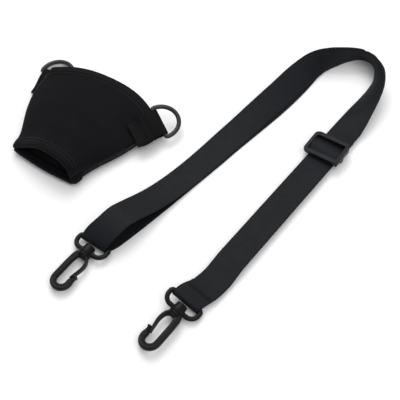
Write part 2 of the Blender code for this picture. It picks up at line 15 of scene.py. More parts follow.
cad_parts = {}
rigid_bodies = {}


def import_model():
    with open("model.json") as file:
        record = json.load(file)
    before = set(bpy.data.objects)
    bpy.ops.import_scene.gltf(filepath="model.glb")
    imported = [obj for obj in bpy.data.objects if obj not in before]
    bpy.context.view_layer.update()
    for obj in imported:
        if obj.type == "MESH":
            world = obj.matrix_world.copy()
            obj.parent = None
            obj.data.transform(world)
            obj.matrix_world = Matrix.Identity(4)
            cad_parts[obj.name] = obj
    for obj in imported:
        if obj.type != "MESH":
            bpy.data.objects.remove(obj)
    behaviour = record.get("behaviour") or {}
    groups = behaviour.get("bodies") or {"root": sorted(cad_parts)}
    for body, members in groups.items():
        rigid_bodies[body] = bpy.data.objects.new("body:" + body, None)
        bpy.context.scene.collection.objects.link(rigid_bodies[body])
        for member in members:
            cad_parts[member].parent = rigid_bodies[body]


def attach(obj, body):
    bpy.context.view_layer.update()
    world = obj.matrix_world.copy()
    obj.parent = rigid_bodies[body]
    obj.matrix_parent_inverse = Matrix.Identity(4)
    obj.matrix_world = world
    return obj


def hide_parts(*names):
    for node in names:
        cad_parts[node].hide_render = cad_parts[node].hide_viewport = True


MM = 0.001
MIDDLE = np.array((4.3, -5.0, -0.1))  # the frame's origin in drawing coordinates
UP = np.array((0.0, 0.0, 1.0))
CLEAR = 0.3

# Camera: about 650 mm away, 54 degrees above the surface
CAMERA_AT = (0.2575, -0.3715, 0.5260)
CAMERA_TO = (0.0607, -0.0440, 0.0001)
LENS = 68.67

# Webbing
WEB_WIDTH = 24.8
WEB_THICK = 1.2
LAYER_PITCH = WEB_THICK + CLEAR
STACK = WEB_THICK + LAYER_PITCH
STATION = 7.0
FOLD_STEPS = 8

# The doubled webbing's inner edge (x, y), how high it is carried, its lean in degrees, how far the
# upper layer stands off the lower one, and how far the two have slipped apart sideways.
DOUBLED_ROUTE = (
    (33.6, -122.0, 0.2, 0.0, 15.0, 0.0),
    (36.6, -111.0, 0.0, 0.0, 16.8, 0.0),
    (40.8, -95.0, 0.0, 0.0, 12.2, 0.0),
    (44.2, -81.0, 0.0, 0.0, 7.2, 0.0),
    (47.6, -67.0, 0.0, 0.0, 3.6, 0.0),
    (52.2, -47.0, 0.0, 0.0, 0.9, 0.0),
    (56.6, -28.0, 0.0, 0.0, 0.0, 0.3),
    (61.0, -9.0, 0.0, 2.0, 0.0, 0.5),
    (65.9, 14.0, 0.0, 6.0, 0.0, 0.8),
    (70.4, 33.0, 0.0, 11.0, 0.0, 1.2),
    (74.9, 52.0, 0.0, 17.0, 0.0, 2.0),
    (79.2, 71.0, 0.0, 22.0, 0.0, 2.8),
    (83.2, 92.0, 0.0, 26.0, 0.0, 3.2),
    (86.2, 114.0, 0.0, 34.0, 0.0, 3.0),
    (88.2, 135.0, 0.0, 52.0, 0.0, 1.5),
    (92.2, 150.5, 0.1, 80.0, 0.0, 0.3),
    (97.0, 161.0, 0.1, 98.0, 0.0, 0.0),
    (103.6, 171.0, 0.1, 111.0, 0.0, 0.0),
    (112.2, 178.6, 0.1, 119.0, 0.0, 0.0),
    (122.8, 179.4, 0.1, 121.0, 0.0, 0.0),
    (131.8, 171.4, 0.1, 112.0, 0.0, 0.0),
    (135.0, 162.0, 0.1, 96.0, 0.0, 0.0),
    (136.0, 152.0, 0.2, 73.0, 0.0, 0.0),
    (135.6, 139.0, 0.3, 54.0, 0.0, 0.0),
    (133.8, 124.0, 1.0, 39.0, 0.0, 0.0),
    (131.5, 108.0, 2.2, 25.0, 0.0, 0.0),
    (129.5, 92.0, 3.3, 8.0, 0.0, 0.0),
)

# Slider and the straight run of webbing under it
SLIDER_AT = np.array((136.8, 51.0, 0.0))
RUN_TURN = Matrix.Rotation(math.radians(-7.1), 4, "Z")
SLIDER_WIDE = 34.6
SLIDER_LONG = 27.0
SLIDER_SHIFT = -1.9
SLIDER_YAW = Matrix.Rotation(math.radians(2.5), 4, "Z")
SLIDER_ROLL = Matrix.Rotation(math.radians(-4.0), 4, "Y")  # its outer side rides a little higher
SLIDER_LIFT = 0.5
YOKE_LOW = 2.0
RAIL_LOW = 5.4
SLIDER_RAIL = 3.3
SLIDER_END_BAR = 4.4
SLIDER_CORNER = 4.8
SLIDER_SWELL = 1.2  # how much thicker the frame is than the gap between its two heights below
SIDE_INSET = 1.5  # from the frame's side to the middle of the rail under it
SIDE_WIDE = 2.4
YOKE_LONG = 4.0
BAR_LONG = 3.0  # the middle bar, along the webbing
BAR_THICK = 1.8
BAR_MIDDLE = 2.4
WRAP_HIGH = 4.2
RUN_HIGH = 5.7
END_BAR_LOW = 7.8
SLIDER_HIGH = 9.9
WRAP_REACH = 32.0
RUN_END = 142.0
HUMP = 2.6  # how far the webbing arches over the slider's middle bar
HUMP_WIDTH = 29.0
HUMP_FORM = ((11.4, 0.0), (9.6, 0.1), (7.6, 0.5), (5.4, 1.4), (3.2, 2.2), (0.6, HUMP), (-2.6, 2.3),
             (-5.4, 1.3), (-8.2, 0.1))  # places along the webbing, and its rise there
HOOK_2_APPROACH = ((116.8, -113.0, 5.9), (113.4, -127.5, 7.6))
WAIST = 0.07  # how much the stitching by hook 2 draws the webbing in

# Snap hooks
LOOP_WIRE = 1.8
LOOP_SKIN = 2.0  # the moulded wire, with its draft and paint
LOOP_TIGHT = 2.2
LOOP_WIDE = 6.8
LOOP_HALF = 14.5
LOOP_DEEP = 11.0
HOOK_1_AT = np.array((16.5, -132.5, 5.7))
HOOK_1_TURN = Matrix.Rotation(math.radians(-4.5), 4, "Z")
HOOK_2_AT = np.array((108.0, -140.0, 6.9))
HOOK_2_TURN = Matrix.Rotation(math.radians(-7.0), 4, "Z") @ Matrix.Rotation(math.radians(13.0), 4, "Y")
FOLD_RADIUS = LOOP_WIRE + 1.5 * CLEAR + WEB_THICK / 2
FOLD_1 = (258.0, 130.0)
FOLD_2 = (278.0, 84.0)
COLLAR_TOP = -5.8
COLLAR_END = -14.0
HOOK_ARM = 2.75
HOOK_ROLLS = (0.0, -21.0)  # how each hook lies, turned about its own swivel
HOOK_BEND = (1.0, -42.3, 6.6)
GATE_BOWS = (7.5, 7.1)  # how far each hook's tongue springs out from the hook's middle
GATE_THICK = 2.6
GATE_TALL = 5.2

# Neoprene cup
NEOPRENE = 3.0
SEAM_GAP = 0.6
CUP_LEFT = ((-103.0, -88.0, 6.8), (-106.2, -73.5, 7.0), (-118.4, -48.5, 9.0), (-125.0, -27.0, 11.0),
            (-127.5, -1.0, 13.0))
CUP_RIGHT = ((-36.5, -92.0, 6.8), (-30.5, -71.5, 6.8), (-19.8, -48.0, 6.8), (-13.0, -28.0, 7.2),
             (-12.5, -1.0, 7.4))
ARCH_RISE = 15.0
ARCH_LEAN = 0.1
MOUTH_SET_BACK = 2.2
PUFF = (13.0, 17.0, 16.0, 11.5, 6.5)
MOUTH_CROWN = ((-1.0, 0.0), (-0.68, 6.6), (-0.16, 16.6), (0.37, 19.4), (0.75, 18.0), (0.95, 12.0),
               (1.0, 0.0))
MOUTH_REACH = 0.5  # share of the cup's length over which the mouth's own form fades out
FLOOR_TAPE = 3.4
RIM_GROOVE = 0.928  # share of the cup's length where the binding's inner edge is sewn down
CUP_LONG = 92.0  # turns a tape's width into a share of the cup's length
RIGHT_TAB_COVERS = (0.58, 0.80)  # shares of the right seam between which the tab hides its stitches

# Cup tabs and D-rings
RING_WIRE = 1.85
RING_SKIN = 2.05
RING_HALF = 15.0
RING_DEEP = 18.5
TAB_REACH = 28.0
TAB_DENT = 2.6  # how far the right tab is sewn down into the neoprene
RIGHT_TAB_AT = np.array((-5.7, -2.7, 13.0))
RIGHT_TAB_TURN = Matrix.Rotation(math.radians(-31.0), 4, "Z") @ Matrix.Rotation(math.radians(19.0), 4, "Y")
LEFT_TAB_AT = np.array((-128.8, 4.8, 3.3))
LEFT_TAB_TURN = Matrix.Rotation(math.radians(10.0), 4, "Z")


# ---------------------------------------------------------------- meshes

def unit(vector):
    return vector / np.linalg.norm(vector)


def turned_by(turn, vector):
    return np.array(turn.to_3x3()) @ np.array(vector, float)


def travelled(points):
    """How far along a line each of its points lies."""
    return np.concatenate(((0.0,), np.cumsum(np.linalg.norm(np.diff(points, axis=0), axis=1))))


def smooth_path(rows, step):
    """Rows whose first three numbers are a place, resampled every step along a smooth curve."""
    rows = np.array(rows, float)
    reach = travelled(rows[:, :3])
    slope = np.gradient(rows, reach, axis=0)
    at = np.linspace(0, reach[-1], max(2, round(reach[-1] / step)) + 1)
    i = np.clip(np.searchsorted(reach, at, side="right") - 1, 0, len(rows) - 2)
    span = (reach[i + 1] - reach[i])[:, None]
    t = (at - reach[i])[:, None] / span
    return ((2 * t ** 3 - 3 * t ** 2 + 1) * rows[i] + (t ** 3 - 2 * t ** 2 + t) * span * slope[i]
            + (3 * t ** 2 - 2 * t ** 3) * rows[i + 1] + (t ** 3 - t ** 2) * span * slope[i + 1])


def directions(points):
    ahead = np.gradient(points, axis=0)
    return ahead / np.linalg.norm(ahead, axis=1)[:, None]


def added(name, data):
    """A new object in the scene, holding a mesh, a light or a camera."""
    obj = bpy.data.objects.new(name, data)
    bpy.context.scene.collection.objects.link(obj)
    return obj


def mesh_object(name, points, faces, paint, uvs=None):
    """A mesh from points in drawing millimetres; uvs holds one (across, along) in mm for each corner."""
    mesh = bpy.data.meshes.new(name)
    mesh.from_pydata(((np.array(points) - MIDDLE) * MM).tolist(), [], faces)
    if uvs is not None:
        layer = mesh.uv_layers.new(name="cloth")
        layer.data.foreach_set("uv", (np.array(uvs, np.float32) * MM).ravel())
    mesh.shade_smooth()
    mesh.set_sharp_from_angle(angle=math.radians(55.0))
    mesh.materials.append(paint)
    return added(name, mesh)


def ring_faces(count, sides, closed=False):
    """Faces between count rings of sides points each, with an end cap on each end unless closed."""
    faces = []
    for i in range(count if closed else count - 1):
        k = (i + 1) % count
        for j in range(sides):
            m = (j + 1) % sides
            faces.append((i * sides + j, i * sides + m, k * sides + m, k * sides + j))
    if not closed:
        faces.append(tuple(range(sides - 1, -1, -1)))
        faces.append(tuple((count - 1) * sides + j for j in range(sides)))
    return faces


def skin(rings, around, lengths):
    """Faces and corner UVs of an open tube skinned over rings of points with equal counts."""
    sides = len(around) - 1
    uvs = []
    for i in range(len(rings) - 1):
        for j in range(sides):
            uvs += [(around[j], lengths[i]), (around[j + 1], lengths[i]),
                    (around[j + 1], lengths[i + 1]), (around[j], lengths[i + 1])]
    for i, order in ((0, range(sides - 1, -1, -1)), (len(rings) - 1, range(sides))):
        uvs += [(around[j], lengths[i]) for j in order]
    return ring_faces(len(rings), sides), uvs


def band_section(width):
    """A woven band's section with rounded edges: (across, up) points, anticlockwise."""
    radius = WEB_THICK / 2
    flat = width / 2 - radius
    spread = np.linspace(-flat, flat, 13)
    turn = np.radians((-60, -30, 0, 30, 60))
    bottom = [(a, -radius) for a in spread]
    right = [(flat + radius * math.cos(a), radius * math.sin(a)) for a in turn]
    top = [(a, radius) for a in spread[::-1]]
    left = [(-flat - radius * math.cos(a), -radius * math.sin(a)) for a in turn]
    return np.array(bottom + right + top + left)


def band(name, rows, paint, width=WEB_WIDTH, step=1.5, share_at=None):
    """A woven band along rows of (place, cross direction); share_at narrows it where it is drawn in."""
    rows = smooth_path(rows, step)
    places, across = rows[:, :3], rows[:, 3:6]
    ahead = directions(places)
    section = band_section(width)
    points = []
    for place, forward, side in zip(places, ahead, across):
        side = unit(side - forward * np.dot(side, forward))
        up = np.cross(forward, side)
        share = share_at(place) if share_at else 1.0
        points.append(place + section[:, :1] * share * side + section[:, 1:] * up)
    around = [*section[:, 0], section[0, 0]]
    faces, uvs = skin(points, around, travelled(places))
    return mesh_object(name, np.vstack(points), faces, paint, uvs), rows


def threads(name, paths, radius, paint):
    """Many short or long threads, each a thin tube along its own path with drawn-in ends."""
    points, faces, uvs = [], [], []
    sides = 6
    angles = np.linspace(0, 2 * math.pi, sides + 1)
    for path in paths:
        path = np.array(path, float)
        ahead = directions(path)
        side = np.cross(ahead[0], UP)
        if np.linalg.norm(side) < 0.1:
            side = np.cross(ahead[0], (1.0, 0.0, 0.0))
        rings = []
        for i, (place, forward) in enumerate(zip(path, ahead)):
            side = unit(side - forward * np.dot(side, forward))
            up = np.cross(forward, side)
            wide = radius * (0.45 if i in (0, len(path) - 1) else 1.0)
            rings.append([place + wide * (math.cos(a) * side + math.sin(a) * up) for a in angles[:-1]])
        own_faces, own_uvs = skin(rings, angles / math.pi, travelled(path))
        start = len(points)
        faces += [tuple(start + v for v in face) for face in own_faces]
        uvs += own_uvs
        points += [p for ring in rings for p in ring]
    return mesh_object(name, points, faces, paint, uvs)


def stitch_paths(line, ups, pitch=2.6, share=0.72, arch=0.25):
    """Short raised stitches, laid end to end along a line of points on a surface."""
    line, ups = np.array(line), np.array(ups)
    reach = travelled(line)
    paths = []
    for start in np.arange(0.3, reach[-1] - pitch * share, pitch):
        at = start + np.linspace(0, 1, 5) * pitch * share
        place = np.array([np.interp(at, reach, line[:, k]) for k in range(3)]).T
        up = np.array([np.interp(at, reach, ups[:, k]) for k in range(3)]).T
        lift = np.sin(np.linspace(0, math.pi, 5))[:, None]
        paths.append(place + up * (lift * arch - 0.05))
    return paths


def lathe(profile, at, turn, sides=40):
    """Points and faces of a turned piece about the local Y axis; profile holds (radius, y)."""
    angles = np.linspace(0, 2 * math.pi, sides, endpoint=False)
    points = [at + turned_by(turn, (radius * math.cos(a), y, radius * math.sin(a)))
              for radius, y in profile for a in angles]
    return points, ring_faces(len(profile), sides)


def bar(points, radii, at, turn, closed=False, squeeze=1.0, square=1.0, groove=0.0, sides=24):
    """Points and faces of a moulded bar through local points.

    squeeze stretches its section in local Z, square below 1 makes the section boxy, and groove is the
    depth, as a share of its radius, of a flute along its upper and lower faces.
    """
    points = np.array(points, float)
    if closed:
        ahead = directions(np.vstack((points[-1], points, points[0])))[1:-1]
    else:
        ahead = directions(points)
    section = []
    for a in np.linspace(0, 2 * math.pi, sides, endpoint=False):
        c, d = math.cos(a), math.sin(a)
        flute = 1 - groove * math.exp(-(c / 0.35) ** 2)
        section.append((flute * math.copysign(abs(c) ** square, c),
                        flute * squeeze * math.copysign(abs(d) ** square, d)))
    made = []
    for place, forward, radius in zip(points, ahead, radii):
        side = unit(np.cross(forward, UP))
        up = np.cross(side, forward)
        made += [at + turned_by(turn, place + radius * (c * side + d * up)) for c, d in section]
    return made, ring_faces(len(points), sides, closed)


def block(size, middle, at, turn):
    """Points and faces of a plain block, as one member of a moulded piece."""
    corners = [(x, y, z) for z in (-0.5, 0.5) for y in (-0.5, 0.5) for x in (-0.5, 0.5)]
    points = [at + turned_by(turn, np.array(middle) + np.array(size) * np.array(c)) for c in corners]
    faces = [(0, 2, 3, 1), (4, 5, 7, 6), (0, 1, 5, 4), (2, 6, 7, 3), (0, 4, 6, 2), (1, 3, 7, 5)]
    return points, faces


def moulded(name, members, paint, voxel=0.25, rounds=3):
    """Members melted into one moulding: remeshed together, then smoothed so that joins become fillets."""
    points, faces = [], []
    for own_points, own_faces in members:
        start = len(points)
        points += list(own_points)
        faces += [tuple(start + v for v in face) for face in own_faces]
    obj = mesh_object(name, points, faces, paint)
    melt = obj.modifiers.new("melt", "REMESH")
    melt.mode = "VOXEL"
    melt.voxel_size = voxel * MM
    melt.use_smooth_shade = True
    ease = obj.modifiers.new("ease", "SMOOTH")
    ease.factor = 0.5
    ease.iterations = rounds
    graph = bpy.context.evaluated_depsgraph_get()
    mesh = bpy.data.meshes.new_from_object(obj.evaluated_get(graph))
    obj.modifiers.clear()
    obj.data = mesh
    mesh.shade_smooth()
    return obj


# ---------------------------------------------------------------- finishes

class Finish:
    """One procedural material: its Principled shader and short calls for the nodes behind it."""

    def __init__(self, name, **constants):
        self.material = bpy.data.materials.new(name)
        self.material.use_nodes = True
        self.tree = self.material.node_tree
        self.shader = self.tree.nodes["Principled BSDF"]
        for socket, value in constants.items():
            self.shader.inputs[socket.replace("_", " ")].default_value = value

    def node(self, kind, **settings):
        made = self.tree.nodes.new("ShaderNode" + kind)
        for key, value in settings.items():
            setattr(made, key, value)
        return made

    def feed(self, value, socket):
        if isinstance(value, (int, float)):
            socket.default_value = value
        else:
            self.tree.links.new(value, socket)

    def math(self, operation, a, b=0.0):
        made = self.node("Math", operation=operation)
        self.feed(a, made.inputs[0])
        self.feed(b, made.inputs[1])
        return made.outputs[0]

    def wave(self, value, pitch):
        """0 to 1 and back, once for each pitch along value."""
        turn = self.math("SINE", self.math("MULTIPLY", value, 2 * math.pi / (pitch * MM)))
        return self.math("MULTIPLY_ADD", turn, 0.5)

    def cloth_axes(self):
        """The cloth's own coordinates, across and along, in metres."""
        where = self.node("UVMap", uv_map="cloth")
        apart = self.node("SeparateXYZ")
        self.tree.links.new(where.outputs["UV"], apart.inputs[0])
        return apart.outputs[0], apart.outputs[1]

    def noise(self, pitch, detail=2.0, stretch=None):
        """Soft noise in the object's own space, with patches about pitch across."""
        where = self.node("TexCoord").outputs["Object"]
        if stretch:
            scaled = self.node("Mapping")
            scaled.inputs["Scale"].default_value = stretch
            self.tree.links.new(where, scaled.inputs[0])
            where = scaled.outputs[0]
        made = self.node("TexNoise")
        made.inputs["Scale"].default_value = 1.0 / (pitch * MM)
        made.inputs["Detail"].default_value = detail
        self.tree.links.new(where, made.inputs["Vector"])
        return made.outputs["Fac"]

    def cells(self, pitch):
        """Small rounded cells, 0 at each one's middle."""
        made = self.node("TexVoronoi")
        made.inputs["Scale"].default_value = 1.0 / (pitch * MM)
        self.tree.links.new(self.node("TexCoord").outputs["Object"], made.inputs["Vector"])
        return made.outputs["Distance"]

    def between(self, share, low, high):
        made = self.node("MapRange")
        self.feed(share, made.inputs["Value"])
        made.inputs["To Min"].default_value = low
        made.inputs["To Max"].default_value = high
        return made.outputs["Result"]

    def colour(self, share, dark, light):
        made = self.node("Mix", data_type="RGBA")
        self.feed(share, made.inputs["Factor"])
        made.inputs["A"].default_value = (*dark, 1.0)
        made.inputs["B"].default_value = (*light, 1.0)
        self.tree.links.new(made.outputs["Result"], self.shader.inputs["Base Color"])

    def bump(self, height, depth, strength=1.0):
        made = self.node("Bump")
        made.inputs["Strength"].default_value = strength
        made.inputs["Distance"].default_value = depth * MM
        self.tree.links.new(height, made.inputs["Height"])
        self.tree.links.new(made.outputs["Normal"], self.shader.inputs["Normal"])

    def roughness(self, share, low, high):
        self.tree.links.new(self.between(share, low, high), self.shader.inputs["Roughness"])


def webbing_finish(name="webbing_weave", dark=(0.0029, 0.0034, 0.0046), light=(0.0100, 0.0116, 0.0150),
                   shine=0.15):
    """Tight woven webbing: lengthwise ribs crossed by picks, a firmer selvedge, and a faint bloom."""
    rib = 1.55
    made = Finish(name, Specular_IOR_Level=shine, Sheen_Weight=0.02 * shine, Sheen_Roughness=0.4)
    across, along = made.cloth_axes()
    ribs = made.wave(across, rib)
    which = made.math("FLOOR", made.math("MULTIPLY", across, 1 / (rib * MM)))
    picks = made.wave(made.math("ADD", along, made.math("MULTIPLY", which, 0.6 * MM)), 1.2)
    weave = made.math("ADD", made.math("MULTIPLY", ribs, 0.55), made.math("MULTIPLY", picks, 0.45))
    edge = made.math("GREATER_THAN", made.math("ABSOLUTE", across), (WEB_WIDTH / 2 - 1.3) * MM)
    height = made.math("ADD", weave, made.math("MULTIPLY", edge, 0.5))
    worn = made.math("MULTIPLY", made.noise(16.0, 4.0), 0.5)
    share = made.math("ADD", made.math("MULTIPLY", weave, 0.5), worn)
    made.colour(share, dark, light)
    made.roughness(made.noise(5.0), 0.5, 0.68)
    made.bump(height, 0.16, 0.8)
    return made.material


def neoprene_finish(name="neoprene_jersey", dark=(0.0030, 0.0030, 0.0043), light=(0.0064, 0.0064, 0.0090)):
    """Neoprene faced with fine knitted jersey: rows of tiny stitches over a soft, slightly mottled skin."""
    made = Finish(name, Specular_IOR_Level=0.08, Sheen_Weight=0.01, Sheen_Roughness=0.5)
    across, along = made.cloth_axes()
    rows = made.math("MULTIPLY", made.wave(across, 0.9), made.wave(along, 0.75))
    pores = made.cells(1.1)
    height = made.math("ADD", rows, made.math("MULTIPLY", pores, 0.4))
    patches = made.noise(22.0, 3.0)
    share = made.math("ADD", made.math("MULTIPLY", patches, 0.7), made.math("MULTIPLY", rows, 0.3))
    made.colour(share, dark, light)
    made.roughness(made.noise(9.0), 0.72, 0.88)
    made.bump(height, 0.1, 0.7)
    return made.material


def binding_finish():
    """Ribbed grosgrain tape, its ribs across its width."""
    made = Finish("binding_grosgrain", Specular_IOR_Level=0.07, Sheen_Weight=0.0)
    across, along = made.cloth_axes()
    ribs = made.wave(along, 1.7)
    yarn = made.wave(across, 0.9)
    height = made.math("ADD", ribs, made.math("MULTIPLY", yarn, 0.3))
    share = made.math("ADD", made.math("MULTIPLY", ribs, 0.6), made.math("MULTIPLY", made.noise(3.0), 0.4))
    made.colour(share, (0.0025, 0.0025, 0.003), (0.0088, 0.0088, 0.0098))
    made.roughness(made.noise(4.0), 0.5, 0.7)
    made.bump(height, 0.3, 0.9)
    return made.material


def thread_finish(name="sewing_thread", dark=(0.006, 0.006, 0.007), light=(0.022, 0.022, 0.025)):
    """Twisted thread with a low sheen."""
    made = Finish(name, Specular_IOR_Level=0.2, Sheen_Weight=0.02)
    around, along = made.cloth_axes()
    twist = made.wave(made.math("ADD", along, made.math("MULTIPLY", around, 0.4)), 0.8)
    made.colour(twist, dark, light)
    made.roughness(made.noise(2.0), 0.45, 0.65)
    made.bump(twist, 0.08, 0.8)
    return made.material


def gloss_finish():
    """Glossy moulded plastic: faint flow marks, a fine orange-peel skin and rubbed patches."""
    made = Finish("gloss_plastic_skin", Specular_IOR_Level=0.15)
    flow = made.noise(7.0, 3.0, (1.0, 0.35, 1.0))
    rubbed = made.noise(2.5, 4.0)
    made.colour(made.math("MULTIPLY", flow, rubbed), (0.003, 0.003, 0.0034), (0.0085, 0.0085, 0.0095))
    made.roughness(rubbed, 0.24, 0.42)
    made.bump(made.noise(1.3, 2.0), 0.05, 0.4)
    return made.material


def matte_finish():
    """Matte moulded plastic with a fine spark-eroded grain."""
    made = Finish("matte_plastic_grain", Specular_IOR_Level=0.2)
    grain = made.cells(0.5)
    patches = made.noise(8.0, 3.0)
    share = made.math("ADD", made.math("MULTIPLY", grain, 0.3), made.math("MULTIPLY", patches, 0.6))
    made.colour(share, (0.005, 0.0052, 0.0075), (0.0105, 0.0108, 0.0150))
    made.roughness(patches, 0.42, 0.6)
    made.bump(grain, 0.06, 0.6)
    return made.material


def ring_finish():
    """Black coated wire, rubbed a little brighter in scattered patches."""
    made = Finish("ring_coat", Specular_IOR_Level=0.42, Metallic=0.3)
    rubbed = made.noise(3.0, 4.0)
    made.colour(rubbed, (0.010, 0.010, 0.011), (0.030, 0.030, 0.033))
    made.roughness(rubbed, 0.26, 0.45)
    made.bump(made.noise(0.9, 2.0), 0.04, 0.4)
    return made.material


def floor_finish():
    made = Finish("studio_floor", Specular_IOR_Level=0.1, Roughness=0.9)
    made.colour(made.noise(60.0, 4.0), (0.94, 0.94, 0.942), (0.96, 0.96, 0.962))
    return made.material


# ---------------------------------------------------------------- studio

def aimed(name, data, at, aim):
    """A new light or camera at one point, looking at another."""
    obj = added(name, data)
    obj.location = at
    obj.rotation_euler = (Vector(aim) - Vector(at)).to_track_quat("-Z", "Y").to_euler()
    return obj


def make_camera():
    data = bpy.data.cameras.new("camera")
    data.lens = LENS
    data.sensor_width = 36.0
    data.clip_start = 0.01
    bpy.context.scene.camera = aimed("camera", data, CAMERA_AT, CAMERA_TO)


def softbox(name, at, size, power):
    data = bpy.data.lights.new(name, "AREA")
    data.shape = "RECTANGLE"
    data.size, data.size_y = size
    data.energy = power
    aimed(name, data, at, (0.0, 0.0, 0.0))


def make_studio():
    mesh = bpy.data.meshes.new("floor")
    half = 4.0
    corners = [(-half, -half, 0), (half, -half, 0), (half, half, 0), (-half, half, 0)]
    mesh.from_pydata(corners, [], [(0, 1, 2, 3)])
    mesh.materials.append(floor_finish())
    floor = added("floor", mesh)
    softbox("key", (-0.5, 0.7, 1.3), (1.1, 0.9), 11.5)
    softbox("fill", (0.9, -0.3, 1.1), (0.9, 0.9), 5.6)
    softbox("top", (0.0, 0.0, 1.6), (1.6, 1.6), 8.2)
    world = bpy.data.worlds.new("studio")
    bpy.context.scene.world = world
    world.use_nodes = True
    background = world.node_tree.nodes["Background"]
    background.inputs["Color"].default_value = (1.0, 1.0, 1.0, 1.0)
    background.inputs["Strength"].default_value = 0.42
    bpy.context.scene.view_settings.view_transform = "Standard"


# ---------------------------------------------------------------- strap

def cross_direction(turn):
    return turned_by(turn, (1.0, 0.0, 0.0))


def through(points, step):
    """Points every step or so along a smooth curve through the rows of points."""
    rows = np.array(points, float)
    ends = np.vstack((2 * rows[0] - rows[1], rows, 2 * rows[-1] - rows[-2]))
    found = []
    for before, here, there, after in zip(ends, ends[1:], ends[2:], ends[3:]):
        count = max(2, round(np.linalg.norm((there - here)[:2]) / step))
        for i in range(count):
            t = i / count
            found.append(0.5 * (2 * here + (there - before) * t
                                + (2 * before - 5 * here + 4 * there - after) * t ** 2
                                + (3 * here - before - 3 * there + after) * t ** 3))
    return np.array([*found, rows[-1]])


def doubled_layers():
    """Middle lines and cross directions of the lower and the upper layer, hook 1 to slider."""
    route = through(DOUBLED_ROUTE, STATION)
    edge = np.column_stack((route[:, :2], np.zeros(len(route))))
    lean = np.radians(route[:, 3])
    ahead = directions(edge)
    outward = np.column_stack((-ahead[:, 1], ahead[:, 0], np.zeros(len(route))))
    across = np.cos(lean)[:, None] * outward + np.sin(lean)[:, None] * UP
    normal = np.cos(lean)[:, None] * UP - np.sin(lean)[:, None] * outward
    edge[:, 2] = route[:, 2] + STACK / 2 * np.abs(np.cos(lean))
    middle = edge + across * WEB_WIDTH / 2
    lower = middle - normal * LAYER_PITCH / 2
    upper = middle + normal * (LAYER_PITCH / 2 + route[:, 4, None]) + across * route[:, 5, None]
    return lower, upper, across


def fold(at, turn, from_angle, to_angle):
    """Middles of the webbing's turn round a loop's bar: 90 degrees is over it, 180 on its hook side."""
    _, back, up = np.array(turn.to_3x3()).T
    angles = np.radians(np.linspace(from_angle, to_angle, FOLD_STEPS))
    return [at + FOLD_RADIUS * (math.cos(a) * back + math.sin(a) * up) for a in angles]


def with_cross(middles, across):
    return [(*place, *across) for place in middles]


def strap_rows():
    """The webbing's whole route: slider, lower layer, hook 1, upper layer, straight run, hook 2, tail."""
    lower, upper, across = doubled_layers()
    run_across = cross_direction(RUN_TURN)
    run_ahead = np.cross(run_across, UP)
    meet = SLIDER_AT - run_ahead * (WRAP_REACH + CLEAR)
    rows = with_cross((meet + UP * WRAP_HIGH, meet - run_ahead * 2.5 + UP * WRAP_HIGH), run_across)
    rows += [(*place, *side) for place, side in zip(lower[::-1], across[::-1])]
    rows += with_cross(fold(HOOK_1_AT, HOOK_1_TURN, *FOLD_1), -cross_direction(HOOK_1_TURN))
    rows += [(*place, *side) for place, side in zip(upper, across)]
    run = [SLIDER_AT + run_ahead * reach + UP * RUN_HIGH for reach in np.linspace(-WRAP_REACH, RUN_END, 16)]
    rows += with_cross(run, run_across)
    second = cross_direction(HOOK_2_TURN)
    for i, point in enumerate(HOOK_2_APPROACH):
        share = (i + 1) / (len(HOOK_2_APPROACH) + 1)
        rows += with_cross([np.array(point) - UP * LAYER_PITCH], run_across + (second - run_across) * share)
    rows += with_cross(fold(HOOK_2_AT, HOOK_2_TURN, *FOLD_2), second)
    tail = np.array(HOOK_2_APPROACH[-1]) + UP * 0.4
    over = HOOK_2_AT + UP * FOLD_RADIUS
    rows += with_cross([over * (1 - share) + tail * share for share in np.linspace(0.4, 1.0, 3)], second)
    return rows


def make_strap(paint, thread):
    second = cross_direction(HOOK_2_TURN)
    tail = np.array(HOOK_2_APPROACH[-1])
    inward = unit(HOOK_2_AT + UP * FOLD_RADIUS - tail)
    sewn_at = tail + inward * 2.5

    def drawn_in(place):
        offset = place - sewn_at
        if np.linalg.norm(offset) > WEB_WIDTH:
            return 1.0
        return 1.0 - WAIST * math.exp(-(np.dot(offset, inward) / 4.5) ** 2)

    strap, rows = band("strap", strap_rows(), paint, share_at=drawn_in)
    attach(strap, "strap")
    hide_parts("strap_webbing")
    up = np.cross(second, inward)
    up = up * math.copysign(1.0, up[2])
    paths = []
    for back in (1.4, 3.2):
        start = tail + UP * 0.4 + inward * back + up * (WEB_THICK / 2 + 0.1)
        line = [start + second * a for a in np.linspace(-11.0, 11.0, 12)]
        paths += stitch_paths(line, [up] * len(line), pitch=2.2)
    # These stitches use the thread painted darker, as painted shade of their grooves.
    sewn = threads("strap_end_stitches", paths, 0.42, thread)
    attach(sewn, "strap")


